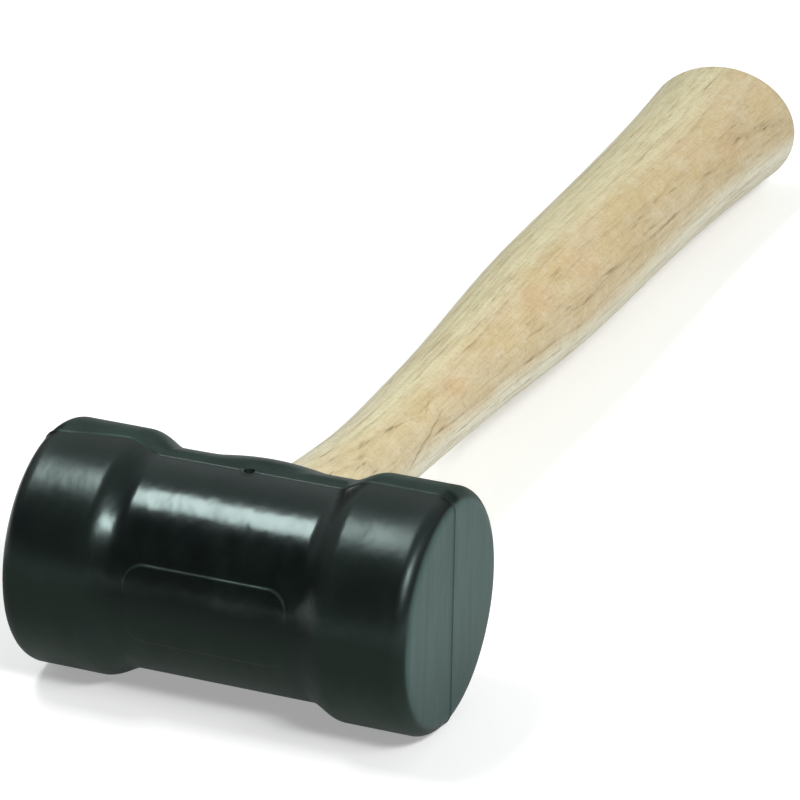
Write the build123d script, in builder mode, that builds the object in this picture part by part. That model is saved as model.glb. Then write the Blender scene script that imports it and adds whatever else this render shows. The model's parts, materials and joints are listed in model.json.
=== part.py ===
import os
from math import asin, atan2, degrees, hypot

from build123d import *

# A rubber mallet: a moulded rubber head on a wooden handle, held by one sunk nail.
# It is drawn in its own axes, in millimetres: X along the head, +Y down the handle,
# Z up, with the origin where the two axes cross. At the end every piece is tipped
# together into the way the mallet lies: on its two drums and the butt of its handle.

# Head: two striking drums on a narrower barrel
head_length = 99.0  # between the striking faces
drum_diameter = 57.0
drum_width = 19.5
barrel_diameter = 51.0
shoulder_length = 8.6  # the S-curve from the barrel up to a drum
face_edge_radius = 4.0

# Fine raised line that the two mould halves leave all round the head
bead_width = 0.7
bead_height = 0.3

# Swelling of the barrel's back, which gives the handle socket its wall
swell_setback = 2.6  # its centre behind the head axis
swell_end_gap = 2.5  # plain barrel left before each shoulder
swell_root_radius = 10.0

# Bare raised pad on the front of the barrel
pad_end_gap = 1.4  # plain barrel left before each shoulder
pad_height = 19.6
pad_corner_radius = 5.0
pad_rise = 0.4

# Handle: oval sections, each at its reach from the head axis
oval_ratio = 0.83  # thickness over width
front_wall = 12.5  # rubber left in front of the tenon
tenon_width = 30.6
mouth_width = 29.0
neck_reach = 69.0
neck_width = 23.2
nape_reach = 93.0
nape_width = 23.9
throat_reach = 125.0
throat_width = 26.4
belly_reach = 180.0
belly_width = 33.3
waist_reach = 222.0
waist_width = 34.8
hip_reach = 262.0
hip_width = 36.0
flare_reach = 300.0
flare_width = 39.0
butt_reach = 331.2
butt_width = 43.2
butt_dome_radius = 120.0
butt_edge_radius = 5.0
tenon_chamfer = 1.5
handle_strips = 32  # straight strips that follow its outline from end to end

# Nail through the top of the head into the tenon
nail_length = 32.0
nail_shank_diameter = 1.9
nail_head_diameter = 2.5
nail_head_height = 1.0
nail_neck_height = 0.8  # cone under the head
nail_point_length = 3.5
nail_depth = 3.5  # head sunk below the barrel's top
nail_hole_clearance = 0.05  # rubber clear of the nail head, on the radius

drum_radius = drum_diameter / 2
barrel_radius = barrel_diameter / 2
half_length = head_length / 2
mouth_reach = barrel_radius + swell_setback
tenon_end = front_wall - barrel_radius

handle_sections = [
    (tenon_end, tenon_width),
    (mouth_reach, mouth_width),
    (neck_reach, neck_width),
    (nape_reach, nape_width),
    (throat_reach, throat_width),
    (belly_reach, belly_width),
    (waist_reach, waist_width),
    (hip_reach, hip_width),
    (flare_reach, flare_width),
    (butt_reach, butt_width),
]

# Half of the head's outline, from its middle to one striking face
shoulder_end = half_length - drum_width
shoulder_start = shoulder_end - shoulder_length
shoulder_middle = ((shoulder_start + shoulder_end) / 2, (barrel_radius + drum_radius) / 2)
with BuildSketch() as half_outline:
    with BuildLine():
        barrel_line = Polyline((0, 0), (0, barrel_radius), (shoulder_start, barrel_radius))
        hollow_arc = TangentArc(barrel_line @ 1, shoulder_middle, tangent=(1, 0))
        round_arc = TangentArc(hollow_arc @ 1, (shoulder_end, drum_radius), tangent=hollow_arc % 1)
        Polyline(round_arc @ 1, (half_length, drum_radius), (half_length, 0), (0, 0))
    make_face()
    fillet(half_outline.vertices().group_by(Axis.X)[-1].sort_by(Axis.Y)[-1], face_edge_radius)

seam_turn = (-135, 0, 0)  # turned bodies start low at the front, clear of every other feature

# Nail: driven down from the top on the head's middle, with a small sunk head
nail_top = barrel_radius - nail_depth
nail_tip = nail_top - nail_length
with BuildPart() as nail:
    with BuildSketch(Plane.XZ):
        with BuildLine():
            Polyline(
                (0, nail_top),
                (nail_head_diameter / 2, nail_top),
                (nail_head_diameter / 2, nail_top - nail_head_height),
                (nail_shank_diameter / 2, nail_top - nail_head_height - nail_neck_height),
                (nail_shank_diameter / 2, nail_tip + nail_point_length),
                (0, nail_tip),
                (0, nail_top),
            )
        make_face()
    revolve(axis=Axis.Z)

# Handle outline: half its width against its reach, one smooth line through the sections
with BuildLine() as side_line:
    Spline(*[(width / 2, reach) for reach, width in handle_sections])

# Handle: ovals along that line, joined strip by strip, trimmed to a domed butt
dome_angle = degrees(asin(butt_width / butt_dome_radius))
with BuildPart() as handle:
    for strip_end in range(handle_strips + 1):
        side = side_line.line @ (strip_end / handle_strips)
        with BuildSketch(Plane.XZ.offset(-side.Y)):
            Ellipse(side.X, side.X * oval_ratio)
    loft(ruled=True)
    with BuildSketch(Plane.XY):
        with BuildLine():
            dome_arc = CenterArc((0, butt_reach - butt_dome_radius), butt_dome_radius, 90, -dome_angle)
            Polyline(dome_arc @ 1, (butt_width, tenon_end), (0, tenon_end), dome_arc @ 0)
        make_face()
    revolve(axis=Axis.Y, mode=Mode.INTERSECT)
    ring_edges = handle.edges().filter_by(lambda edge: edge.is_closed).sort_by(Axis.Y)
    fillet(ring_edges[-1], butt_edge_radius)
    chamfer(ring_edges[0], tenon_chamfer)
    add(nail.part, mode=Mode.SUBTRACT)

# Swelling: a crowned barrel of the same radius, turned about an axis set back from the head's
swell_axis = Axis((0, swell_setback, 0), (1, 0, 0))
swell_half_length = shoulder_start - swell_end_gap
swell_crown_radius = (swell_half_length**2 + swell_setback**2) / (2 * swell_setback)
swell_angle = degrees(asin(shoulder_start / swell_crown_radius))
with BuildPart() as swell:
    with BuildSketch(Plane((0, swell_setback, 0)).rotated(seam_turn)):
        with BuildLine():
            crown_centre = (0, barrel_radius - swell_crown_radius)
            crown_arc = CenterArc(crown_centre, swell_crown_radius, 90 - swell_angle, 2 * swell_angle)
            Polyline(crown_arc @ 1, (-shoulder_start, 0), (shoulder_start, 0), crown_arc @ 0)
        make_face()
    revolve(axis=swell_axis)

# Pad: a rounded rectangle that follows the barrel's curve, a little proud of it
pad_width = 2 * (shoulder_start - pad_end_gap)
with BuildPart() as pad:
    with BuildSketch(Plane.XZ):
        RectangleRounded(pad_width, pad_height, pad_corner_radius)
    extrude(amount=barrel_diameter)
    Cylinder(barrel_radius + pad_rise, pad_width, rotation=(0, 90, 0), mode=Mode.INTERSECT)

# Bead: the head's whole outline, grown by the bead's height, as a thin plate
with BuildPart() as bead:
    with BuildSketch(Plane.XZ):
        add(half_outline.sketch)
        mirror(about=Plane.XZ)
        mirror(about=Plane.YZ)
        offset(amount=bead_height)
    extrude(amount=bead_width / 2, both=True)

# Head: turned from the half outline, then joined to the swelling, the pad and the bead
with BuildPart() as head:
    with BuildSketch(Plane.XY.rotated(seam_turn)):
        add(half_outline.sketch)
    revolve(axis=Axis.X)
    mirror(about=Plane.YZ)
    turned_edges = head.edges()
    add(swell.part)
    swell_edges = head.edges() - turned_edges
    fillet(swell_edges.filter_by(lambda edge: edge.is_closed), swell_root_radius)
    add(pad.part)
    add(bead.part)
    add(handle.part, mode=Mode.SUBTRACT)
    add(nail.part, mode=Mode.SUBTRACT)
    with BuildSketch(Plane.XY.offset(nail_top - nail_head_height)):
        Circle(nail_head_diameter / 2 + nail_hole_clearance)
    extrude(amount=barrel_radius, mode=Mode.SUBTRACT)

# Resting place: tilted until one level floor touches both drums and the butt,
# with the origin on that floor under the middle of the whole mallet
butt_ring = handle.edges().filter_by(lambda edge: edge.is_closed).sort_by(Axis.Y)[-2]
butt_ring_reach = butt_ring.center().Y
butt_drop = -butt_ring.bounding_box().min.Z
drum_drop = drum_radius + bead_height
rest_tilt = asin(drum_drop / hypot(butt_ring_reach, butt_drop)) - atan2(butt_drop, butt_ring_reach)
tilt = Rotation(-degrees(rest_tilt), 0, 0)
pieces = {"rubber_head": head, "wooden_handle": handle, "retaining_nail": nail}
tilted = Compound([tilt * piece.part for piece in pieces.values()]).bounding_box()
resting_place = Pos(-tilted.center().X, -tilted.center().Y, -tilted.min.Z) * tilt

os.makedirs("parts", exist_ok=True)
for name, piece in pieces.items():
    placed = resting_place * piece.part
    placed.label = name
    export_step(placed, f"parts/{name}.step")
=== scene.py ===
import json
from math import asin, atan, ceil, cos, exp, hypot, pi, radians, sin, sqrt

import bmesh
import bpy
from mathutils import Matrix, Vector, noise


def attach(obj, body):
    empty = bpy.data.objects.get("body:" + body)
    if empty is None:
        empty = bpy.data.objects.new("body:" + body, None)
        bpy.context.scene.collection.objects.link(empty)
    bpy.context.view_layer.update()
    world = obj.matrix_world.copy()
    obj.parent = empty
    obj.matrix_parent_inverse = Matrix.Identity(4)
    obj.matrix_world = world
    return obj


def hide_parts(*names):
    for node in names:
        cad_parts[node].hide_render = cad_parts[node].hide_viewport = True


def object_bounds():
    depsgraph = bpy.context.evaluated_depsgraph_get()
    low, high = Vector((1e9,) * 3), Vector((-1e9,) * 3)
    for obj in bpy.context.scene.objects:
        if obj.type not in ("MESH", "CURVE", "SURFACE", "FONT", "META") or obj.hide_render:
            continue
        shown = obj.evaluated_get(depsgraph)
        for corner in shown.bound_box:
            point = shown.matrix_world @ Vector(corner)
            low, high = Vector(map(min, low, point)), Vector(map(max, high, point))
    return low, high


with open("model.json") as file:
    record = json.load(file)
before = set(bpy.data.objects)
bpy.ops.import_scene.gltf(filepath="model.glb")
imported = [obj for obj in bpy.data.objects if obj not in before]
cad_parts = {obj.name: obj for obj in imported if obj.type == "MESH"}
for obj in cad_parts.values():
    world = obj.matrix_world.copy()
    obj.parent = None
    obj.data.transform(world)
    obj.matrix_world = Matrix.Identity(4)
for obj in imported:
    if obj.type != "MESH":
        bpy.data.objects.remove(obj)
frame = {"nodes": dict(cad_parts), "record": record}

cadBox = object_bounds()
mm = 0.001

# The mallet's own axes: X through both striking faces, Y down the handle, Z up,
# zero where the head's middle line meets the handle's
mounts = {mount["name"]: mount for mount in frame["record"]["mounts"]}
rightFace = Vector(mounts["striking_face_right"]["pos_m"])
leftFace = Vector(mounts["striking_face_left"]["pos_m"])
headAxis = (rightFace - leftFace).normalized()
handleAxis = Vector(mounts["handle_neck"]["axis"]).normalized()
upAxis = headAxis.cross(handleAxis)
malletPlace = Matrix((headAxis, handleAxis, upAxis)).transposed().to_4x4()
malletPlace.translation = (rightFace + leftFace) / 2
print("mallet placed at", [round(value, 5) for value in malletPlace.translation])


class Wire:
    # one output socket of a shader node, which can be reckoned with as a number
    def __init__(self, finish, socket):
        self.finish = finish
        self.socket = socket

    def __add__(self, other): return self.finish.maths("ADD", self, other)
    def __radd__(self, other): return self.finish.maths("ADD", other, self)
    def __sub__(self, other): return self.finish.maths("SUBTRACT", self, other)
    def __rsub__(self, other): return self.finish.maths("SUBTRACT", other, self)
    def __mul__(self, other): return self.finish.maths("MULTIPLY", self, other)
    def __rmul__(self, other): return self.finish.maths("MULTIPLY", other, self)
    def __truediv__(self, other): return self.finish.maths("DIVIDE", self, other)
    def __rtruediv__(self, other): return self.finish.maths("DIVIDE", other, self)
    def __neg__(self): return self * -1
    def __abs__(self): return self.finish.maths("ABSOLUTE", self)


class Finish:
    # a material or the world while its nodes are wired up
    def __init__(self, holder):
        self.holder = holder
        holder.use_nodes = True
        self.tree = holder.node_tree
        self.tree.nodes.clear()

    def node(self, kind, settings=None, inputs=None, output=0):
        made = self.tree.nodes.new(kind)
        for setting, value in (settings or {}).items():
            if setting == "stops":
                self.setStops(made.color_ramp, value)
            else:
                setattr(made, setting, value)
        for socket, value in (inputs or {}).items():
            if isinstance(value, Wire):
                self.tree.links.new(value.socket, made.inputs[socket])
            else:
                made.inputs[socket].default_value = value
        if made.outputs:
            return Wire(self, made.outputs[output])

    def setStops(self, ramp, stops):
        while len(ramp.elements) < len(stops):
            ramp.elements.new(0.5)
        for element, (place, shade) in zip(ramp.elements, stops):
            element.position = place
            element.color = shade

    def maths(self, operation, *values):
        return self.node("ShaderNodeMath", {"operation": operation}, dict(enumerate(values)))

    def between(self, value, low, high, outLow=0.0, outHigh=1.0):  # soft step from low to high
        return self.node("ShaderNodeMapRange", {"interpolation_type": "SMOOTHSTEP"},
                         {0: value, 1: low, 2: high, 3: outLow, 4: outHigh})

    def ramp(self, value, stops):
        return self.node("ShaderNodeValToRGB", {"stops": stops}, {0: value})

    def blend(self, amount, first, second):  # colours
        return self.node("ShaderNodeMix", {"data_type": "RGBA"}, {0: amount, 6: first, 7: second}, output=2)

    def noise(self, where, scale, detail, roughness):  # three scales stretch it along the axes
        if isinstance(scale, tuple):
            where = self.node("ShaderNodeVectorMath", {"operation": "MULTIPLY"}, {0: where, 1: scale})
            scale = 1
        return self.node("ShaderNodeTexNoise", None, {
            "Vector": where, "Scale": scale, "Detail": detail, "Roughness": roughness})

    def bump(self, height, depth, under=None):  # at half strength, over another bump if there is one
        inputs = {"Height": height, "Distance": depth, "Strength": 0.5}
        if under:
            inputs["Normal"] = under
        return self.node("ShaderNodeBump", None, inputs)

    def spot(self):  # the place on the piece
        return self.node("ShaderNodeTexCoord", output="Object")

    def malletSpot(self):  # the same place in the mallet's own axes
        turned = malletPlace.inverted()
        return self.node("ShaderNodeMapping", None, {
            0: self.spot(), 1: turned.translation, 2: turned.to_euler()})

    def split(self, where):
        parts = self.node("ShaderNodeSeparateXYZ", None, {0: where})
        return [Wire(self, socket) for socket in parts.socket.node.outputs]

    def attribute(self, name):
        return self.node("ShaderNodeAttribute", {"attribute_name": name}, output="Fac")

    def ray(self, kind):  # 1 for rays of this kind
        return self.node("ShaderNodeLightPath", output=kind)

    def done(self, shader):
        self.node("ShaderNodeOutputMaterial", None, {0: shader})
        return self.holder


def linear(red, green, blue):  # a screen colour, 0 to 255, as the shader wants it
    shades = [value / 255 for value in (red, green, blue)]
    shades = [value / 12.92 if value < 0.04045 else ((value + 0.055) / 1.055) ** 2.4 for value in shades]
    return (*shades, 1.0)


# What the head's shape and its finish both follow: the mould line, which wanders
# forward on the left drum, and the raised pad on the front of the barrel
lineDrift = dict(start=28 * mm, end=50 * mm, shift=-3.0 * mm)
pad = dict(half=20 * mm, halfHeight=9.8 * mm, corner=5 * mm, rise=0.3 * mm, edge=0.7 * mm)

rubberLook = dict(
    deep=linear(12, 17, 16), dusty=linear(30, 39, 36), dull=linear(30, 40, 35), scuffAndSheen=linear(50, 62, 56),
    topSheen=linear(53, 69, 63), face=linear(67, 91, 87), darkTone=linear(9, 12, 12),
    sheen=(0.76, 1.0, 0.96, 1.0),
    # patterns: scale, detail, roughness
    cloud=(55, 4, 0.6), smear=((210, 90, 90), 3, 0.6), grit=(1900, 2, 0.5),
    rubbed=((60, 420, 34), 3, 0.6), ripple=((190, 110, 110), 2, 0.5),
    rippleDepth=0.35 * mm, gritDepth=0.004 * mm,
    # each place starts at the first measure and is reached at the second: out from the middle of the head
    drumOut=(22 * mm, 31 * mm), rimOut=(40 * mm, 46.5 * mm), faceOut=(48.6 * mm, 49.35 * mm),
    shoulderOut=(20.8 * mm, 23 * mm), shoulderEndOut=(28 * mm, 31 * mm), rimDarkPatchOut=(45 * mm, 47 * mm),
    # up from the middle of the head
    dustUp=(-12 * mm, 12 * mm), faceShadeUp=(-26 * mm, 4 * mm), padHighlightUp=(1 * mm, 8 * mm),
    rimDarkPatchUp=(13 * mm, 21 * mm), bottomUp=(1 * mm, 13 * mm), floorReflectionUp=(-24 * mm, -4 * mm),
    shadeBandUp=(-6 * mm, 5 * mm), topSheenUp=(8 * mm, 21 * mm),
    # back towards the handle
    padHighlightBack=(-4 * mm, -2 * mm), behindBack=(-0.2 * mm, 0.8 * mm), creaseShadeBack=0.1 * mm, rimDarkPatchBack=1 * mm,
    # lines: half width where they are full, and where they have faded out
    lineHighlightWidth=(0.25 * mm, 0.9 * mm), padHighlightWidth=(0.1 * mm, 0.45 * mm), creaseShadeWidth=(0.12 * mm, 0.42 * mm),
    beadWidth=(0.3 * mm, 0.9 * mm), rimDarkPatchWidth=(1.5 * mm, 4.5 * mm),
    # amounts, 0 to 1
    dust=0.35, streaks=0.35, faceShade=0.3, lineHighlight=0.6, faceTone=0.9, padHighlight=0.42, shadeBand=0.8,
    # roughness of the glossy rubber, and what shoulder, bead, smear and grit add to it
    barrelRough=0.2, drumRough=0.3, rimRough=0.36, faceRough=0.5,
    shoulderRough=0.02, beadRough=0.2, smearRough=0.1, gritRough=0.03,
    # how much of the dull rubber shows, its roughness, and how far its edges wave
    bottomDull=0.96, backDull=0.85, drumDull=0.2, rimDull=0.0, faceDull=0.55, dullRough=0.6,
    bottomWave=14 * mm, floorReflectionWave=8 * mm)


def makeRubber():
    # glossy on the front half of the mould, duller low down, on the back half and on the faces
    look = rubberLook
    f = Finish(bpy.data.materials.new("moulded rubber"))
    where = f.malletSpot()
    along, back, up = f.split(where)
    back = back - f.between(-along, lineDrift["start"], lineDrift["end"]) * lineDrift["shift"]
    out, offLine = abs(along), abs(back)
    onDrum = f.between(out, *look["drumOut"])
    onRim = f.between(out, *look["rimOut"])
    onFace = f.between(out, *look["faceOut"])
    offFace = 1 - onFace
    cloud = f.noise(where, *look["cloud"])
    smear = f.noise(where, *look["smear"])
    grit = f.noise(where, *look["grit"])
    rubbed = f.noise(where, *look["rubbed"])
    ripple = f.noise(where, *look["ripple"])

    # the face has faint streaks down it, and painted shade makes it darker low down
    face = f.blend(f.between(rubbed, 0.35, 0.7, 0.0, look["streaks"]), look["face"], look["scuffAndSheen"])
    face = f.blend(f.between(up, *look["faceShadeUp"], look["faceShade"], 0.0), face, look["darkTone"])
    dust = f.between(cloud * 0.6 + smear * 0.4, 0.42, 0.72) * f.between(up, *look["dustUp"], 0.4, 1.0)
    colour = f.blend(dust * look["dust"], look["deep"], look["dusty"])
    # painted highlight: the mould line is paler on the drums, where the bead would catch the light
    lineHighlight = f.between(offLine, *look["lineHighlightWidth"], 1.0, 0.0) * onDrum
    lineHighlight = lineHighlight * f.between(cloud, 0.35, 0.55, 0.3, 1.0)
    colour = f.blend(lineHighlight * look["lineHighlight"], colour, face)
    colour = f.blend(onFace * look["faceTone"], colour, face)
    # painted highlight: the upper edge of the pad is paler too, reckoned from the centres of its corners
    pastEnd = f.maths("MAXIMUM", out - (pad["half"] - pad["corner"]), 0.0)
    pastTop = f.maths("MAXIMUM", abs(up) - (pad["halfHeight"] - pad["corner"]), 0.0)
    padHighlight = f.maths("SQRT", pastEnd * pastEnd + pastTop * pastTop) - (pad["corner"] - pad["edge"] / 2)
    padHighlight = f.between(abs(padHighlight), *look["padHighlightWidth"], 1.0, 0.0) * f.between(up, *look["padHighlightUp"])
    padHighlight = padHighlight * f.between(back, *look["padHighlightBack"], 1.0, 0.0) * f.between(cloud, 0.35, 0.55, 0.5, 1.0)
    padHighlight = padHighlight * look["padHighlight"]
    colour = f.blend(padHighlight, colour, look["scuffAndSheen"])
    # painted shade: a dark line down each face where the mould halves meet
    darkTone = f.between(abs(back - look["creaseShadeBack"]), *look["creaseShadeWidth"], 1.0, 0.0) * onFace
    colour = f.blend(darkTone, colour, look["darkTone"])
    # a darker patch lies on the mould line where it goes over the rim
    rimDarkPatch = f.between(out, *look["rimDarkPatchOut"]) * offFace * f.between(up, *look["rimDarkPatchUp"])
    rimDarkPatch = rimDarkPatch * f.between(abs(back - look["rimDarkPatchBack"]), *look["rimDarkPatchWidth"], 1.0, 0.0)
    rimDarkPatch = rimDarkPatch * f.between(cloud, 0.3, 0.5, 0.5, 1.0)
    colour = f.blend(rimDarkPatch, colour, look["darkTone"])

    rough = look["barrelRough"] + onDrum * (look["drumRough"] - look["barrelRough"])
    rough = rough + onRim * (look["rimRough"] - look["drumRough"])
    rough = rough + onFace * (look["faceRough"] - look["rimRough"])
    onShoulder = f.between(out, *look["shoulderOut"]) * f.between(out, *look["shoulderEndOut"], 1.0, 0.0)
    rough = rough + onShoulder * look["shoulderRough"]
    rough = rough + f.between(offLine, *look["beadWidth"], look["beadRough"], 0.0) * offFace
    rough = rough + (smear - 0.5) * look["smearRough"] + (grit - 0.5) * look["gritRough"]
    skin = f.bump(grit, look["gritDepth"], f.bump(ripple, look["rippleDepth"]))
    shiny = f.node("ShaderNodeBsdfPrincipled", None, {
        "Base Color": colour, "Roughness": rough, "Normal": skin, "IOR": 1.5, "Specular IOR Level": 0.45,
        "Specular Tint": look["sheen"]})

    low = f.between(up + (cloud - 0.5) * look["bottomWave"], *look["bottomUp"], 1.0, 0.0) * look["bottomDull"]
    behind = f.between(back, *look["behindBack"]) * look["backDull"]
    worn = onDrum * look["drumDull"] + onRim * (look["rimDull"] - look["drumDull"])
    worn = worn * (0.4 + cloud * 1.2)
    dullness = f.maths("MAXIMUM", f.maths("MAXIMUM", low, behind), f.maths("MAXIMUM", worn, rimDarkPatch))
    dullness = dullness * offFace + onFace * look["faceDull"]
    # painted reflection: the underside turns paler towards the bottom, as if it mirrored the floor; the same
    # pale colour also gives the faces' scuffs and the pad's painted highlight
    floorReflection = f.between(up + (smear - 0.5) * look["floorReflectionWave"], *look["floorReflectionUp"], 1.0, 0.0)
    dullColour = f.blend(floorReflection, look["dull"], look["scuffAndSheen"])
    # painted shade: a dark band lies above the paler underside of the barrel, which is a painted reflection
    shadeBand = f.between(up, *look["shadeBandUp"]) * (1 - onDrum) * look["shadeBand"]
    dullColour = f.blend(shadeBand, dullColour, look["deep"])
    dullColour = f.blend(padHighlight, dullColour, look["scuffAndSheen"])
    # painted reflection: the top of the dull back half is paler and greener, mottled
    topSheen = f.between(cloud, 0.3, 0.6, 0.6, 1.0) * f.between(up, *look["topSheenUp"])
    dullColour = f.blend(behind * (1 - floorReflection) * topSheen, dullColour, look["topSheen"])
    dullColour = f.blend(f.between(onFace + rimDarkPatch, 0.0, 1.0), dullColour, colour)
    dull = f.node("ShaderNodeBsdfPrincipled", None, {
        "Base Color": dullColour, "Roughness": look["dullRough"], "Normal": skin, "IOR": 1.5,
        "Specular IOR Level": 0.05})
    return f.done(f.node("ShaderNodeMixShader", None, {0: dullness, 1: shiny, 2: dull}))


woodLook = dict(
    heart=linear(211, 193, 157), blush=linear(209, 177, 137), ochre=linear(206, 184, 140),
    sap=linear(220, 212, 174), chalk=linear(230, 226, 204), line=linear(124, 94, 60),
    endGrain=linear(203, 172, 122),
    # rings: which way the bark side faces, in degrees from straight up towards the right, how far off the
    # pith is, how much nearer it comes down the handle, where the first ring lies, ring to ring, and how
    # far they wander slowly and quickly
    facing=41, pith=75 * mm, runOut=0.0226, firstRing=8.48 * mm, ringGap=2.0 * mm,
    wander=1.6 * mm, shiver=0.64 * mm,
    # patterns: scale, detail, roughness
    drift=((34, 10, 34), 2, 0.45), wobble=((170, 26, 170), 3, 0.5), crooked=((260, 130, 260), 2, 0.6),
    broken=((90, 24, 90), 2, 0.5), streak=((800, 30, 800), 3, 0.6), hair=((1700, 45, 1700), 2, 0.6),
    dash=((1250, 95, 1250), 2, 0.55), blotch=((75, 45, 75), 3, 0.55), mottle=((300, 170, 300), 3, 0.6),
    fleck=(1100, 2, 0.6), grainDepth=0.08 * mm, rough=0.58, streakRough=0.2,
    # thin coats over the wood: pattern, where it starts and ends, how much at each, colour
    coats=[("mottle", (0.5, 0.7), (0.0, 0.08), "line"), ("mottle", (0.3, 0.5), (0.22, 0.0), "chalk"),
           ("hair", (0.5, 0.7), (0.0, 0.16), "line"), ("fleck", (0.45, 0.75), (0.0, 0.18), "line")],
    # amounts, 0 to 1
    ring=0.18, dashes=0.08, dashOnRing=0.7, paleNeck=0.85, endTone=0.65,
    # where the heartwood starts and is full: down the handle, and out from the first ring
    heartAlong=(40 * mm, 95 * mm), heartDepth=(-3.0 * mm, 1.0 * mm),
    paleNeckAlong=(60 * mm, 125 * mm), topDepth=3 * mm,
    # marks on the upper side, mm: where each starts and ends down the handle and across it,
    # half width, strength; each fades in from just before its start to well inside it
    marks=[(65, 92, 8.0, 3.2, 0.45, 0.63), (64, 84, -4.2, 0.8, 0.33, 0.405),
           (84, 94, 1.2, -1.6, 0.375, 0.45), (47, 55, -1.4, -1.8, 0.825, 0.54),
           (55, 61, -3.9, -4.2, 0.6, 0.495), (94, 104, -6.5, -6.8, 0.375, 0.36),
           (106, 126, -8.9, -9.5, 0.33, 0.315), (110, 122, -6.9, -7.4, 0.45, 0.45),
           (117, 128, -3.7, -3.5, 0.45, 0.495), (126, 142, -5.7, -6.2, 0.375, 0.405),
           (108, 131, 5.8, 6.6, 0.33, 0.315), (140, 152, 4.9, 5.8, 0.45, 0.45),
           (170, 180, 8.4, 8.2, 0.42, 0.45), (186, 199, 7.0, 7.5, 0.675, 0.54),
           (197, 218, 9.9, 8.7, 0.3, 0.315), (218, 244, 8.5, 8.4, 0.48, 0.585),
           (248, 270, -8.6, -9.2, 0.33, 0.315), (264, 272, 6.0, 6.9, 0.525, 0.54),
           (288, 318, 10.6, 12.4, 0.33, 0.36)],
    markFade=(1, 5), markWave=1.6 * mm, markCrook=1.3 * mm,
    # warm spots, mm: middle down the handle and across it, half length, half width, strength
    warmSpots=[(104, 0.7, 7, 3.5, 0.8), (158, -0.1, 9, 5, 0.65), (186, 0.9, 9, 6, 0.7),
               (253, -14.2, 9, 4, 0.5), (268, -3.5, 8, 7, 0.35), (289, 5.1, 12, 6, 0.5)],
    warmSpread=(0.1, 1.2), warmWave=1.6)


def makeWood():
    # plain-sawn: rings round a pith far off on one side, running out slowly along the handle
    look = woodLook
    f = Finish(bpy.data.materials.new("sanded ash"))
    where = f.malletSpot()
    across, along, up = f.split(where)
    aside = f.attribute("aside")
    facing = radians(look["facing"])
    outward = across * sin(facing) + up * cos(facing)
    sideways = across * cos(facing) - up * sin(facing)
    onTop = f.between(outward, 0.0, look["topDepth"])
    patterns = {name: f.noise(where, *look[name]) for name in (
        "drift", "wobble", "crooked", "broken", "streak", "hair", "dash", "blotch", "mottle", "fleck")}
    wobble, streak, hair, blotch = (patterns[name] for name in ("wobble", "streak", "hair", "blotch"))

    deep = outward - along * look["runOut"] + look["pith"]
    depth = f.maths("SQRT", sideways * sideways + deep * deep) - (look["pith"] + look["firstRing"])
    depth = depth + (patterns["drift"] - 0.5) * look["wander"] + (wobble - 0.5) * look["shiver"]
    phase = f.maths("FRACT", depth / look["ringGap"])
    ring = f.between(phase, 0.0, 0.3, 1.0, 0.0) * 0.6 + f.between(phase, 0.82, 1.0)
    ring = ring * f.between(patterns["broken"], 0.4, 0.62, 0.25, 1.0)
    dash = f.between(patterns["dash"], 0.56, 0.68)

    mark = 0.0
    waved = sideways + (wobble - 0.5) * look["markWave"] + (patterns["crooked"] - 0.5) * look["markCrook"]
    for start, end, fromSide, toSide, halfWidth, strength in look["marks"]:
        lean = (toSide - fromSide) / (end - start)
        off = abs(waved - along * lean - (fromSide - start * lean) * mm)
        before, inside = look["markFade"]
        inside = min(inside, (end - start) / 2)
        ends = f.between(along, (start - before) * mm, (start + inside) * mm)
        ends = ends * f.between(along, (end - inside) * mm, (end + before) * mm, 1.0, 0.0)
        mark = f.between(off, 0.0, halfWidth * mm, strength, 0.0) * ends + mark
    mark = mark * onTop
    warm = 0.0
    for middle, side, length, width, strength in look["warmSpots"]:
        down, over = (along - middle * mm) / (length * mm), (sideways - side * mm) / (width * mm)
        away = down * down + over * over + (blotch - 0.5) * look["warmWave"]
        warm = f.between(away, *look["warmSpread"], strength, 0.0) + warm

    heart = f.blend(f.between(blotch, 0.36, 0.64), look["ochre"], look["heart"])
    heart = f.blend(warm * onTop * f.between(patterns["mottle"], 0.3, 0.6, 0.6, 1.0), heart, look["blush"])
    # the edges are paler: partly the finer grain where the rings run steeper, partly a painted sheen where
    # the surface turns away
    sap = f.blend(f.between(abs(aside), 0.55, 1.0), look["sap"], look["chalk"])
    heartwood = f.between(depth, *look["heartDepth"])
    colour = f.blend(heartwood * f.between(along, *look["heartAlong"], 0.6, 0.9), sap, heart)
    paleNeck = f.between(-aside, -0.1, 0.75) * f.between(along, *look["paleNeckAlong"], 1.0, 0.0)
    colour = f.blend(paleNeck * look["paleNeck"], colour, look["chalk"])
    colour = f.blend(f.between(streak, 0.35, 0.7, 0.0, 0.25), colour, look["ochre"])
    colour = f.blend(f.between(streak, 0.5, 0.68, 0.0, 0.2) * (1 - heartwood * 0.7), colour, look["line"])
    for name, spread, amounts, shade in look["coats"]:
        colour = f.blend(f.between(patterns[name], *spread, *amounts), colour, look[shade])
    colour = f.blend(ring * look["ring"], colour, look["line"])
    colour = f.blend(dash * (look["dashes"] + ring * look["dashOnRing"]), colour, look["line"])
    colour = f.blend(mark * f.between(hair, 0.35, 0.55, 0.35, 1.0), colour, look["line"])
    onEnd = f.between(f.attribute("endFace"), 0.75, 0.97)
    colour = f.blend(onEnd * look["endTone"], colour, look["endGrain"])
    rough = look["rough"] + (streak - 0.5) * look["streakRough"]
    grain = streak * 0.5 - dash * 0.8 - ring * 0.2 + patterns["fleck"] * 0.3 - mark
    return f.done(f.node("ShaderNodeBsdfPrincipled", None, {
        "Base Color": colour, "Roughness": rough, "Normal": f.bump(grain, look["grainDepth"]),
        "IOR": 1.45, "Specular IOR Level": 0.35}))


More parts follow.
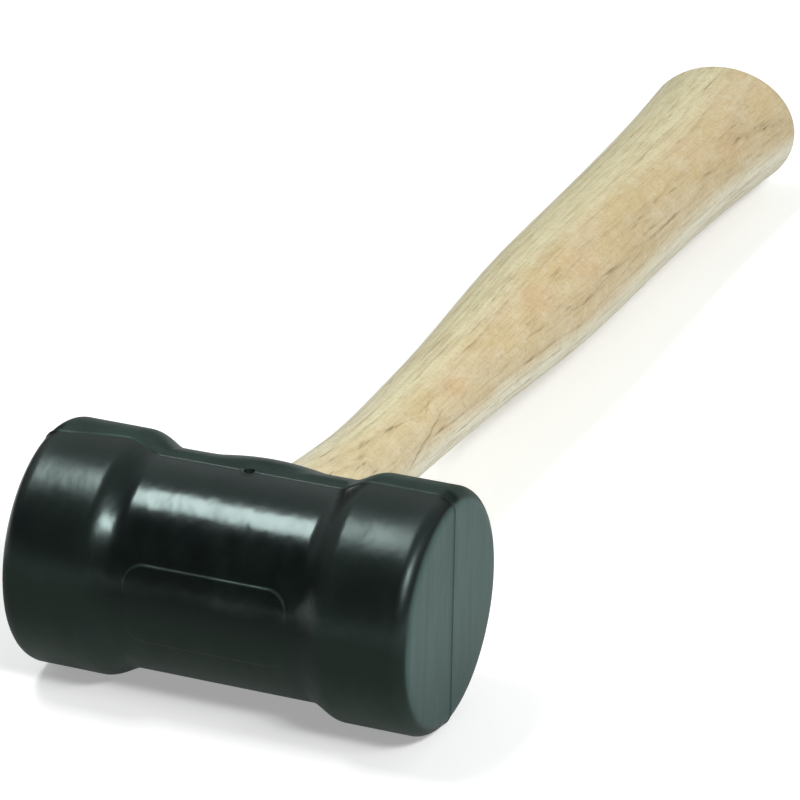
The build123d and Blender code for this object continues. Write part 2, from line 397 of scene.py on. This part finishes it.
steelLook = dict(
    bright=linear(120, 120, 118), dark=linear(52, 50, 48), tarnish=(1400, 3, 0.6), pitDepth=0.04 * mm,
    rough=0.35, tarnishRough=0.3)


def makeNailSteel():
    look = steelLook
    f = Finish(bpy.data.materials.new("dull nail steel"))
    tarnish = f.noise(f.malletSpot(), *look["tarnish"])
    return f.done(f.node("ShaderNodeBsdfPrincipled", None, {
        "Base Color": f.ramp(tarnish, [(0.35, look["dark"]), (0.7, look["bright"])]),
        "Roughness": look["rough"] + tarnish * look["tarnishRough"],
        "Normal": f.bump(tarnish, look["pitDepth"]), "Metallic": 1.0}))


rubber = makeRubber()
wood = makeWood()
nailSteel = makeNailSteel()
print("finishes made")


def smoothLine(points, steps):
    # a natural curve through the points: a tridiagonal spline, sampled evenly along its first value
    count = len(points)
    reach = [point[0] for point in points]
    value = [point[1] for point in points]
    gap = [reach[i + 1] - reach[i] for i in range(count - 1)]
    slope = [(value[i + 1] - value[i]) / gap[i] for i in range(count - 1)]
    right, bend = [0.0], [0.0]
    for i in range(1, count - 1):
        share = 2 * (gap[i - 1] + gap[i]) - gap[i - 1] * right[i - 1]
        right.append(gap[i] / share)
        bend.append((6 * (slope[i] - slope[i - 1]) - gap[i - 1] * bend[i - 1]) / share)
    bend.append(0.0)
    for i in range(count - 2, 0, -1):
        bend[i] -= right[i] * bend[i + 1]

    def at(place):
        i = max(0, min(count - 2, next((k for k in range(count - 1) if place <= reach[k + 1]), count - 2)))
        a, b = reach[i + 1] - place, place - reach[i]
        return ((bend[i] * a**3 + bend[i + 1] * b**3) / (6 * gap[i])
                + (value[i] / gap[i] - bend[i] * gap[i] / 6) * a
                + (value[i + 1] / gap[i] - bend[i + 1] * gap[i] / 6) * b)

    places = [reach[0] + (reach[-1] - reach[0]) * k / steps for k in range(steps + 1)]
    return [(place, at(place)) for place in places]


def smoothMax(a, b, softness):
    return (a + b + sqrt((a - b) ** 2 + softness**2)) / 2


def softStep(value, low, high):
    share = max(0.0, min(1.0, (value - low) / (high - low)))
    return share * share * (3 - 2 * share)


def addPiece(name, data):
    piece = bpy.data.objects.new(name, data)
    bpy.context.scene.collection.objects.link(piece)
    return piece


def evaluated(piece):
    # the piece's shape with its modifiers applied, as a mesh of its own
    return bpy.data.meshes.new_from_object(piece.evaluated_get(bpy.context.evaluated_depsgraph_get()))


meshCare = dict(merge=0.004 * mm, thinnest=0.002 * mm, sharpAngle=40)


def finishMesh(mesh, name, material):
    # merges doubles, turns the faces outwards, keeps only real edges sharp and makes it a piece
    shape = bmesh.new()
    shape.from_mesh(mesh)
    bmesh.ops.remove_doubles(shape, verts=shape.verts, dist=meshCare["merge"])
    bmesh.ops.dissolve_degenerate(shape, edges=shape.edges, dist=meshCare["thinnest"])
    bmesh.ops.recalc_face_normals(shape, faces=shape.faces)
    for face in shape.faces:
        face.smooth = True
    for edge in shape.edges:
        edge.smooth = len(edge.link_faces) == 2 and edge.calc_face_angle(0) < radians(meshCare["sharpAngle"])
    shape.to_mesh(mesh)
    shape.free()
    mesh.materials.clear()
    mesh.materials.append(material)
    return addPiece(name, mesh)


# Handle: ovals along a nearly straight path, rounded over at the butt
handleShape = dict(
    ovalRatio=0.83, sides=144, steps=280,
    # the butt: its rolled edge and how far that reaches along and in, as parts of it, the radius of its
    # dome, how much the end leans across and up, and how far back the lean starts
    buttEdge=4.6 * mm, edgeAlong=1.22, edgeIn=0.9, buttDome=150 * mm,
    buttLean=(0.045, -0.03), leanLength=45 * mm, buttSteps=12, tip=0.01 * mm,
    outline=[(-13.0, 30.6), (28.1, 29.0), (69.0, 23.2), (93.0, 23.9), (125.0, 26.4), (180.0, 33.3),
             (222.0, 34.8), (262.0, 36.0), (300.0, 39.0), (331.1, 43.1)],  # reach and width, mm
    bow=[(-13.0, 0.0), (38.0, 0.0), (80.0, 0.35), (160.0, 0.4), (215.0, -0.1), (265.0, -0.45),
         (331.1, -0.2)])  # reach and sideways drift, mm


def handleSides(steps):
    # (reach, half width) from the tenon's end to the butt's
    return smoothLine([(reach * mm, width * mm / 2) for reach, width in handleShape["outline"]], steps)


def handleStations():
    # (sideways, reach, half width) from the tenon's end to the middle of the butt
    shape = handleShape
    sides = handleSides(shape["steps"])
    bows = smoothLine([(reach * mm, drift * mm) for reach, drift in shape["bow"]], shape["steps"])
    end, edge, dome = sides[-1][0], shape["buttEdge"], shape["buttDome"]
    edgeStart = end - edge * shape["edgeAlong"]
    body = [(bow[1], reach, half) for (reach, half), bow in zip(sides, bows) if reach < edgeStart]
    drift, reach, half = body[-1]
    # the edge rolls over to the dome, whose middle is the end of the handle
    domeHalf = half - edge * shape["edgeIn"]
    domeReach = end - (dome - sqrt(dome**2 - domeHalf**2))
    shares = [step / shape["buttSteps"] for step in range(1, shape["buttSteps"] + 1)]
    roll, cap = [], []
    for share in shares:
        out, onward = cos(pi / 2 * share), sin(pi / 2 * share)
        roll.append((drift, reach + (domeReach - reach) * onward, domeHalf + (half - domeHalf) * out))
        part = domeHalf * (1 - share)
        cap.append((drift, end - (dome - sqrt(dome**2 - part**2)), max(part, shape["tip"])))
    return body + roll + cap


def handlePath():
    stations = handleStations()
    path = bpy.data.curves.new("handlePath", "CURVE")
    path.dimensions = "3D"
    line = path.splines.new("POLY")
    line.points.add(len(stations) - 1)
    for point, (drift, reach, half) in zip(line.points, stations):
        point.co = (drift, reach, 0, 1)
        point.radius = half
    return path


def ovalSweepTree():
    # sweeps an oval along a path, as wide at each point as the path's radius there
    tree = bpy.data.node_groups.new("oval sweep", "GeometryNodeTree")
    sockets = {}
    for name, kind in (("Path", "NodeSocketGeometry"), ("Oval Ratio", "NodeSocketFloat"),
                       ("Sides", "NodeSocketInt"), ("Material", "NodeSocketMaterial")):
        sockets[name] = tree.interface.new_socket(name, in_out="INPUT", socket_type=kind).identifier
    tree.interface.new_socket("Mesh", in_out="OUTPUT", socket_type="NodeSocketGeometry")

    def add(kind, **inputs):
        made = tree.nodes.new(kind)
        for key, value in inputs.items():
            socket = made.inputs[key.replace("_", " ")]
            if isinstance(value, bpy.types.NodeSocket):
                tree.links.new(value, socket)
            else:
                socket.default_value = value
        return made

    given = tree.nodes.new("NodeGroupInput").outputs
    ring = add("GeometryNodeCurvePrimitiveCircle", Resolution=given["Sides"], Radius=1.0)
    squash = add("ShaderNodeCombineXYZ", X=1.0, Y=given["Oval Ratio"], Z=1.0)
    oval = add("GeometryNodeTransform", Geometry=ring.outputs[0], Scale=squash.outputs[0])
    upright = add("GeometryNodeSetCurveNormal", Curve=given["Path"])
    upright.mode = "Z_UP"
    width = add("GeometryNodeInputRadius")
    sweep = add("GeometryNodeCurveToMesh", Curve=upright.outputs[0], Profile_Curve=oval.outputs[0],
                Scale=width.outputs[0], Fill_Caps=True)
    real = add("GeometryNodeRealizeInstances", Geometry=sweep.outputs[0])
    painted = add("GeometryNodeSetMaterial", Geometry=real.outputs[0], Material=given["Material"])
    tree.links.new(painted.outputs[0], tree.nodes.new("NodeGroupOutput").inputs[0])
    return tree, sockets


def markSides(mesh):
    # how far aside each point is, as a part of the half width there, and how far it faces the end
    samples = 400
    widest = handleSides(samples)
    start, end = widest[0][0], widest[-1][0]
    for name in ("aside", "endFace"):
        mesh.attributes.new(name, "FLOAT", "POINT")
    for k, vertex in enumerate(mesh.vertices):
        share = max(0.0, min(1.0, (vertex.co.y - start) / (end - start)))
        mesh.attributes["aside"].data[k].value = vertex.co.x / widest[round(share * samples)][1]
        mesh.attributes["endFace"].data[k].value = abs(vertex.normal.y)


def leanButt(mesh):
    # the end was cut a little out of square: its left and top edges sit further in
    across, down = handleShape["buttLean"]
    end, width = (value * mm for value in handleShape["outline"][-1])
    furthest = hypot(across, down * handleShape["ovalRatio"]) * width / 2
    for vertex in mesh.vertices:
        share = softStep(vertex.co.y, end - handleShape["leanLength"], end)
        vertex.co.y += share * (vertex.co.x * across + vertex.co.z * down - furthest)


def makeHandle():
    shape = handleShape
    guide = addPiece("handleGuide", handlePath())
    tree, sockets = ovalSweepTree()
    sweep = guide.modifiers.new("ovalSweep", "NODES")
    sweep.node_group = tree
    sweep[sockets["Oval Ratio"]] = shape["ovalRatio"]
    sweep[sockets["Sides"]] = shape["sides"]
    sweep[sockets["Material"]] = wood
    mesh = evaluated(guide)
    guide.modifiers.remove(sweep)
    bpy.data.objects.remove(guide)
    markSides(mesh)
    leanButt(mesh)
    mesh.transform(malletPlace)
    return finishMesh(mesh, "handleWood", wood)


# Head: one outline turned about the head axis, with the swelling, mould bead and pad raised on it
headShape = dict(
    length=99 * mm, drumRadius=28.5 * mm, barrelRadius=25.5 * mm, drumWidth=19.5 * mm, shoulder=8.6 * mm,
    faceEdge=4 * mm, beadWidth=0.95 * mm, beadHeight=0.24 * mm,
    # the swelling: how far back it is set, its half length, how softly it meets the barrel, and how far
    # along, in half lengths, and round the barrel, as a cosine, it is reckoned
    swellSetback=2.6 * mm, swellHalf=18.9 * mm, swellBlend=0.24 * mm, swellAlong=1.15, swellRound=-0.3,
    nailHole=1.25 * mm, nailTop=22 * mm, drillLength=20 * mm, drillSides=48,
    lipRadius=1.75 * mm, lipHeight=0.14 * mm, lipWidth=0.5 * mm, waver=0.05 * mm, waverScales=(45, 110),
    # the mesh along the barrel: how far out each stretch ends and how far apart its rings are,
    # close together round the nail hole and at the ends of the pad
    barrelRings=[(2.4 * mm, 0.3 * mm), (18.6 * mm, 0.8 * mm)], shoulderGap=0.3 * mm, drumGap=1.0 * mm,
    shoulderSteps=24, edgeSteps=14, faceRows=40,
    # round the head: the widest step in degrees, how wide the fine places are and their step, and how
    # fast the steps grow away from them
    widestTurn=1.9, beadFine=(2.2 * mm, 0.14 * mm), padFine=(0.9 * mm, 0.16 * mm), growth=0.22)


def headOutline():
    # (along, radius, how far the surface leans towards the face) from the middle to the rim of the flat face
    shape = headShape
    half, edge = shape["length"] / 2, shape["faceEdge"]
    drum, barrel = shape["drumRadius"], shape["barrelRadius"]
    drumInner = half - shape["drumWidth"]
    shoulderStart = drumInner - shape["shoulder"]
    rise, run = (drum - barrel) / 2, shape["shoulder"]
    points = []

    def straight(start, end, radius, gap):
        steps = max(1, ceil((end - start) / gap))
        points.extend((start + (end - start) * k / steps, radius, 0.0) for k in range(steps))

    start = 0
    for end, gap in (*shape["barrelRings"], (shoulderStart, shape["shoulderGap"])):
        straight(start, end, barrel, gap)
        start = end
    steps = shape["shoulderSteps"]
    for k in range(steps):
        turn = pi * k / steps
        steepness = pi * rise / run * sin(turn)
        points.append((shoulderStart + run * k / steps, barrel + rise * (1 - cos(turn)), -atan(steepness)))
    straight(drumInner, half - edge, drum, shape["drumGap"])
    steps = shape["edgeSteps"]
    for k in range(steps + 1):
        turn = pi / 2 * k / steps
        points.append((half - edge + edge * sin(turn), drum - edge + edge * cos(turn), turn))
    return points


def headAngles():
    # angles round the head axis, from the back (+Y) over the top to the front, closer together at the
    # bead and at the pad's upper edge
    shape = headShape
    padTurn = asin(pad["halfHeight"] / shape["barrelRadius"])
    fine = [(pi / 2, *shape["beadFine"]), (pi - padTurn, *shape["padFine"])]
    angles = [0.0]
    while angles[-1] < pi:
        here = angles[-1]
        gap = radians(shape["widestTurn"])
        for centre, reach, close in fine:
            away = abs(here - centre) * shape["barrelRadius"]
            near = max(close, (away - reach) * shape["growth"])
            gap = min(gap, near / shape["barrelRadius"])
        angles.append(here + gap)
    scale = pi / angles[-1]
    return [angle * scale for angle in angles]


def swelling(along, turn, radius):
    # the barrel's back swells round the handle: a crowned turned shape, set back
    shape = headShape
    setback, half = shape["swellSetback"], shape["swellHalf"]
    if abs(along) >= half * shape["swellAlong"] or cos(turn) <= shape["swellRound"]:
        return 0.0
    crown = (half**2 + setback**2) / (2 * setback)
    crownRadius = shape["barrelRadius"] - (crown - sqrt(crown**2 - along**2))
    swell = setback * cos(turn) + sqrt(crownRadius**2 - (setback * sin(turn)) ** 2)
    height = smoothMax(radius, swell, shape["swellBlend"]) - radius
    return height - smoothMax(0, -setback, shape["swellBlend"])


def padHeight(along, z):
    # a flat pad with round corners and soft edges
    dx = abs(along) - (pad["half"] - pad["corner"])
    dz = abs(z) - (pad["halfHeight"] - pad["corner"])
    outside = hypot(max(dx, 0), max(dz, 0)) + min(max(dx, dz), 0) - pad["corner"]
    return pad["rise"] * (1 - softStep(outside, -pad["edge"], 0.0))


def raised(along, turn, radius):
    # how far the surface stands off the plain outline
    shape = headShape
    y, z = radius * cos(turn), radius * sin(turn)
    extra = swelling(along, turn, radius)
    if cos(turn) < 0:
        extra += padHeight(along, z)
    line = lineDrift["shift"] * softStep(-along, lineDrift["start"], lineDrift["end"])
    share = abs(y - line) / (shape["beadWidth"] / 2)
    if share < 1:
        extra += shape["beadHeight"] * cos(share * pi / 2) ** 2
    if z > 0:
        # rubber pushed up round the nail
        fromLip = hypot(along, y) - shape["lipRadius"]
        extra += shape["lipHeight"] * exp(-((fromLip / shape["lipWidth"]) ** 2))
    return extra


def waver(spot):
    # the slight unevenness of a thick moulding
    broad, fine = (noise.noise(spot * scale) for scale in headShape["waverScales"])
    return headShape["waver"] * (broad + 0.5 * fine)


def makeHead():
    shape = headShape
    outline = headOutline()
    stations = [(-along, radius, -lean) for along, radius, lean in reversed(outline[1:])] + outline
    upper = headAngles()
    turns = upper + [-angle for angle in reversed(upper[1:-1])]
    count = len(turns)
    mesh = bmesh.new()
    rings = []
    for along, radius, lean in stations:
        ring = []
        for turn in turns:
            lift = raised(along, turn, radius)
            out = Vector((sin(lean), cos(lean) * cos(turn), cos(lean) * sin(turn)))
            spot = Vector((along, radius * cos(turn), radius * sin(turn)))
            ring.append(mesh.verts.new(spot + out * (lift + waver(spot) - shape["waver"])))
        rings.append(ring)
    for first, second in zip(rings, rings[1:]):
        for k in range(count):
            mesh.faces.new((first[k], first[(k + 1) % count], second[(k + 1) % count], second[k]))
    closeFace(mesh, rings[0], len(upper))
    closeFace(mesh, rings[-1], len(upper))
    data = bpy.data.meshes.new("headMoulding")
    mesh.to_mesh(data)
    mesh.free()
    data.transform(malletPlace)
    return finishMesh(data, "headRubber", rubber)


def closeFace(mesh, rim, half):
    # the flat face, in strips that run up and down beside the bead
    count = len(rim)
    rows = headShape["faceRows"]
    strips = [[rim[0]]]
    for k in range(1, half - 1):
        top, bottom = rim[k], rim[count - k]
        strip = [top]
        for row in range(1, rows):
            spot = top.co.lerp(bottom.co, row / rows)
            strip.append(mesh.verts.new(spot))
        strips.append(strip + [bottom])
    strips.append([rim[half - 1]])
    for left, right in zip(strips, strips[1:]):
        for row in range(rows):
            corners = [left[min(row, len(left) - 1)], right[min(row, len(right) - 1)],
                       right[min(row + 1, len(right) - 1)], left[min(row + 1, len(left) - 1)]]
            unique = list(dict.fromkeys(corners))
            if len(unique) > 2:
                mesh.faces.new(unique)


def cutAway(piece, cutter):
    # takes the cutter's shape out of the piece
    cut = piece.modifiers.new("cut", "BOOLEAN")
    cut.operation = "DIFFERENCE"
    cut.solver = "EXACT"
    cut.object = cutter
    mesh = evaluated(piece)
    piece.modifiers.remove(cut)
    old = piece.data
    piece.data = mesh
    bpy.data.meshes.remove(old)


def boreNailHole(piece):
    # the hole left above the sunk nail head, down to the head itself
    shape = headShape
    drill = bmesh.new()
    place = malletPlace @ Matrix.Translation((0, 0, shape["nailTop"] + shape["drillLength"] / 2))
    bmesh.ops.create_cone(drill, cap_ends=True, segments=shape["drillSides"], radius1=shape["nailHole"],
                          radius2=shape["nailHole"], depth=shape["drillLength"], matrix=place)
    mesh = bpy.data.meshes.new("nailDrill")
    drill.to_mesh(mesh)
    drill.free()
    cutter = addPiece("nailDrill", mesh)
    cutAway(piece, cutter)
    bpy.data.objects.remove(cutter)


handleWood = makeHandle()
print("handle made:", len(handleWood.data.polygons), "faces")
headRubber = makeHead()
cutAway(headRubber, handleWood)
boreNailHole(headRubber)
print("head made:", len(headRubber.data.polygons), "faces")

frame["nodes"]["retaining_nail"].data.materials.clear()
frame["nodes"]["retaining_nail"].data.materials.append(nailSteel)

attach(handleWood, "root")
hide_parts("wooden_handle")
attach(headRubber, "root")
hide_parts("rubber_head")


studio = dict(
    floorShade=0.82, floorSpeck=(30, 3, 0.5), speckShade=1.02, floorGlow=0.34, floorSize=8.0,
    whiteOut=(0.6, 2.0),  # how far out the floor starts to turn white, and is white
    dimRoom=0.03, tint=(0.94, 1.0, 0.98, 1.0),
    skyline=(0.14, 0.48),  # how high up the walls' light starts and is full
    # pale walls: direction, where each begins and is brightest, strength
    walls=[((-0.60, 0.55, 0.58), 0.45, 0.98, 0.55), ((0.72, 0.50, 0.48), 0.2, 0.95, 0.45)])


def makeFloor():
    look = studio
    f = Finish(bpy.data.materials.new("studio floor"))
    where = f.spot()
    plain, speck = look["floorShade"], look["floorShade"] * look["speckShade"]
    stops = [(0.3, (plain, plain, plain, 1.0)), (0.7, (speck, speck, speck, 1.0))]
    paper = f.node("ShaderNodeBsdfDiffuse", None, {
        "Color": f.ramp(f.noise(where, *look["floorSpeck"]), stops)})
    fromCamera = f.ray("Is Camera Ray")
    seen = f.maths("MAXIMUM", fromCamera, f.ray("Is Glossy Ray"))
    seen = f.maths("MAXIMUM", seen, f.ray("Is Transmission Ray"))
    away = f.node("ShaderNodeVectorMath", {"operation": "LENGTH"}, {0: where}, output="Value")
    horizon = f.between(away, *look["whiteOut"]) * fromCamera
    glow = f.node("ShaderNodeEmission", None, {0: (1, 1, 1, 1), 1: seen * look["floorGlow"] + horizon})
    half = look["floorSize"] / 2
    mesh = bpy.data.meshes.new("studioFloor")
    mesh.from_pydata([(-half, -half, 0), (half, -half, 0), (half, half, 0), (-half, half, 0)], [],
                     [(0, 1, 2, 3)])
    mesh.materials.append(f.done(f.node("ShaderNodeAddShader", None, {0: paper, 1: glow})))
    floor = addPiece("studioFloor", mesh)
    floor.location = (0, 0, cadBox[0][2])


def makeWorld():
    # a dim room with a pale wall behind on the left and a greyer one on the right, white to the camera
    look = studio
    world = bpy.data.worlds.new("studio")
    bpy.context.scene.world = world
    f = Finish(world)
    around = f.node("ShaderNodeTexCoord")
    above = f.between(f.split(around)[2], *look["skyline"])
    glow = look["dimRoom"]
    for direction, start, full, strength in look["walls"]:
        towards = f.node("ShaderNodeVectorMath", {"operation": "DOT_PRODUCT"}, {0: around, 1: direction},
                         output="Value")
        glow = f.between(towards, start, full) * above * strength + glow
    fromCamera = f.ray("Is Camera Ray")
    sky = f.node("ShaderNodeBackground", None, {
        0: f.blend(fromCamera, look["tint"], (1, 1, 1, 1)), 1: f.maths("MAXIMUM", glow, fromCamera)})
    f.node("ShaderNodeOutputWorld", None, {0: sky})


def heading(turn, rise):
    # a direction away from the mallet, turned from its front towards its right and raised, in degrees
    turn, rise = radians(turn), radians(rise)
    return Vector((sin(turn) * cos(rise), -cos(turn) * cos(rise), sin(rise)))


lamps = {  # where each stands and how large it is, in degrees and metres, and its watts
    "leftSoftbox": dict(turn=-84, rise=69.4, distance=2.0, width=0.68, height=0.34, power=15.6),
    "rightSoftbox": dict(turn=48, rise=43, distance=2.0, width=0.46, height=0.32, power=21.0),
    "sideSoftbox": dict(turn=66, rise=45, distance=2.0, width=0.5, height=0.36, power=6.8),
}


def makeLamps():
    for name, lamp in lamps.items():
        light = bpy.data.lights.new(name, "AREA")
        light.shape = "RECTANGLE"
        light.size = lamp["width"]
        light.size_y = lamp["height"]
        light.energy = lamp["power"]
        away = heading(lamp["turn"], lamp["rise"])
        holder = addPiece(name, light)
        holder.location = malletPlace.translation + away * lamp["distance"]
        holder.rotation_euler = away.to_track_quat("Z", "Y").to_euler()


shot = dict(turn=22.10, rise=23.14, roll=1.04, distance=1.22143, lens=229.61, sensor=36, farClip=50,
            aim=(0.956 * mm, 86.19 * mm, 9.53 * mm))  # in the mallet's own axes


def makeCamera():
    turn = radians(shot["turn"])
    towards = heading(shot["turn"], shot["rise"])
    level = Vector((cos(turn), sin(turn), 0))
    right = Matrix.Rotation(radians(shot["roll"]), 3, towards) @ level
    up = towards.cross(right)
    camera = bpy.data.cameras.new("camera")
    camera.lens = shot["lens"]
    camera.sensor_width = shot["sensor"]
    camera.clip_end = shot["farClip"]
    stand = Matrix((right, up, towards)).transposed().to_4x4()
    stand.translation = Vector(shot["aim"]) + towards * shot["distance"]
    holder = addPiece("camera", camera)
    holder.matrix_world = malletPlace @ stand
    bpy.context.scene.camera = holder


makeFloor()
makeWorld()
makeLamps()
makeCamera()
bpy.context.scene.view_settings.view_transform = "Standard"
print("studio made")
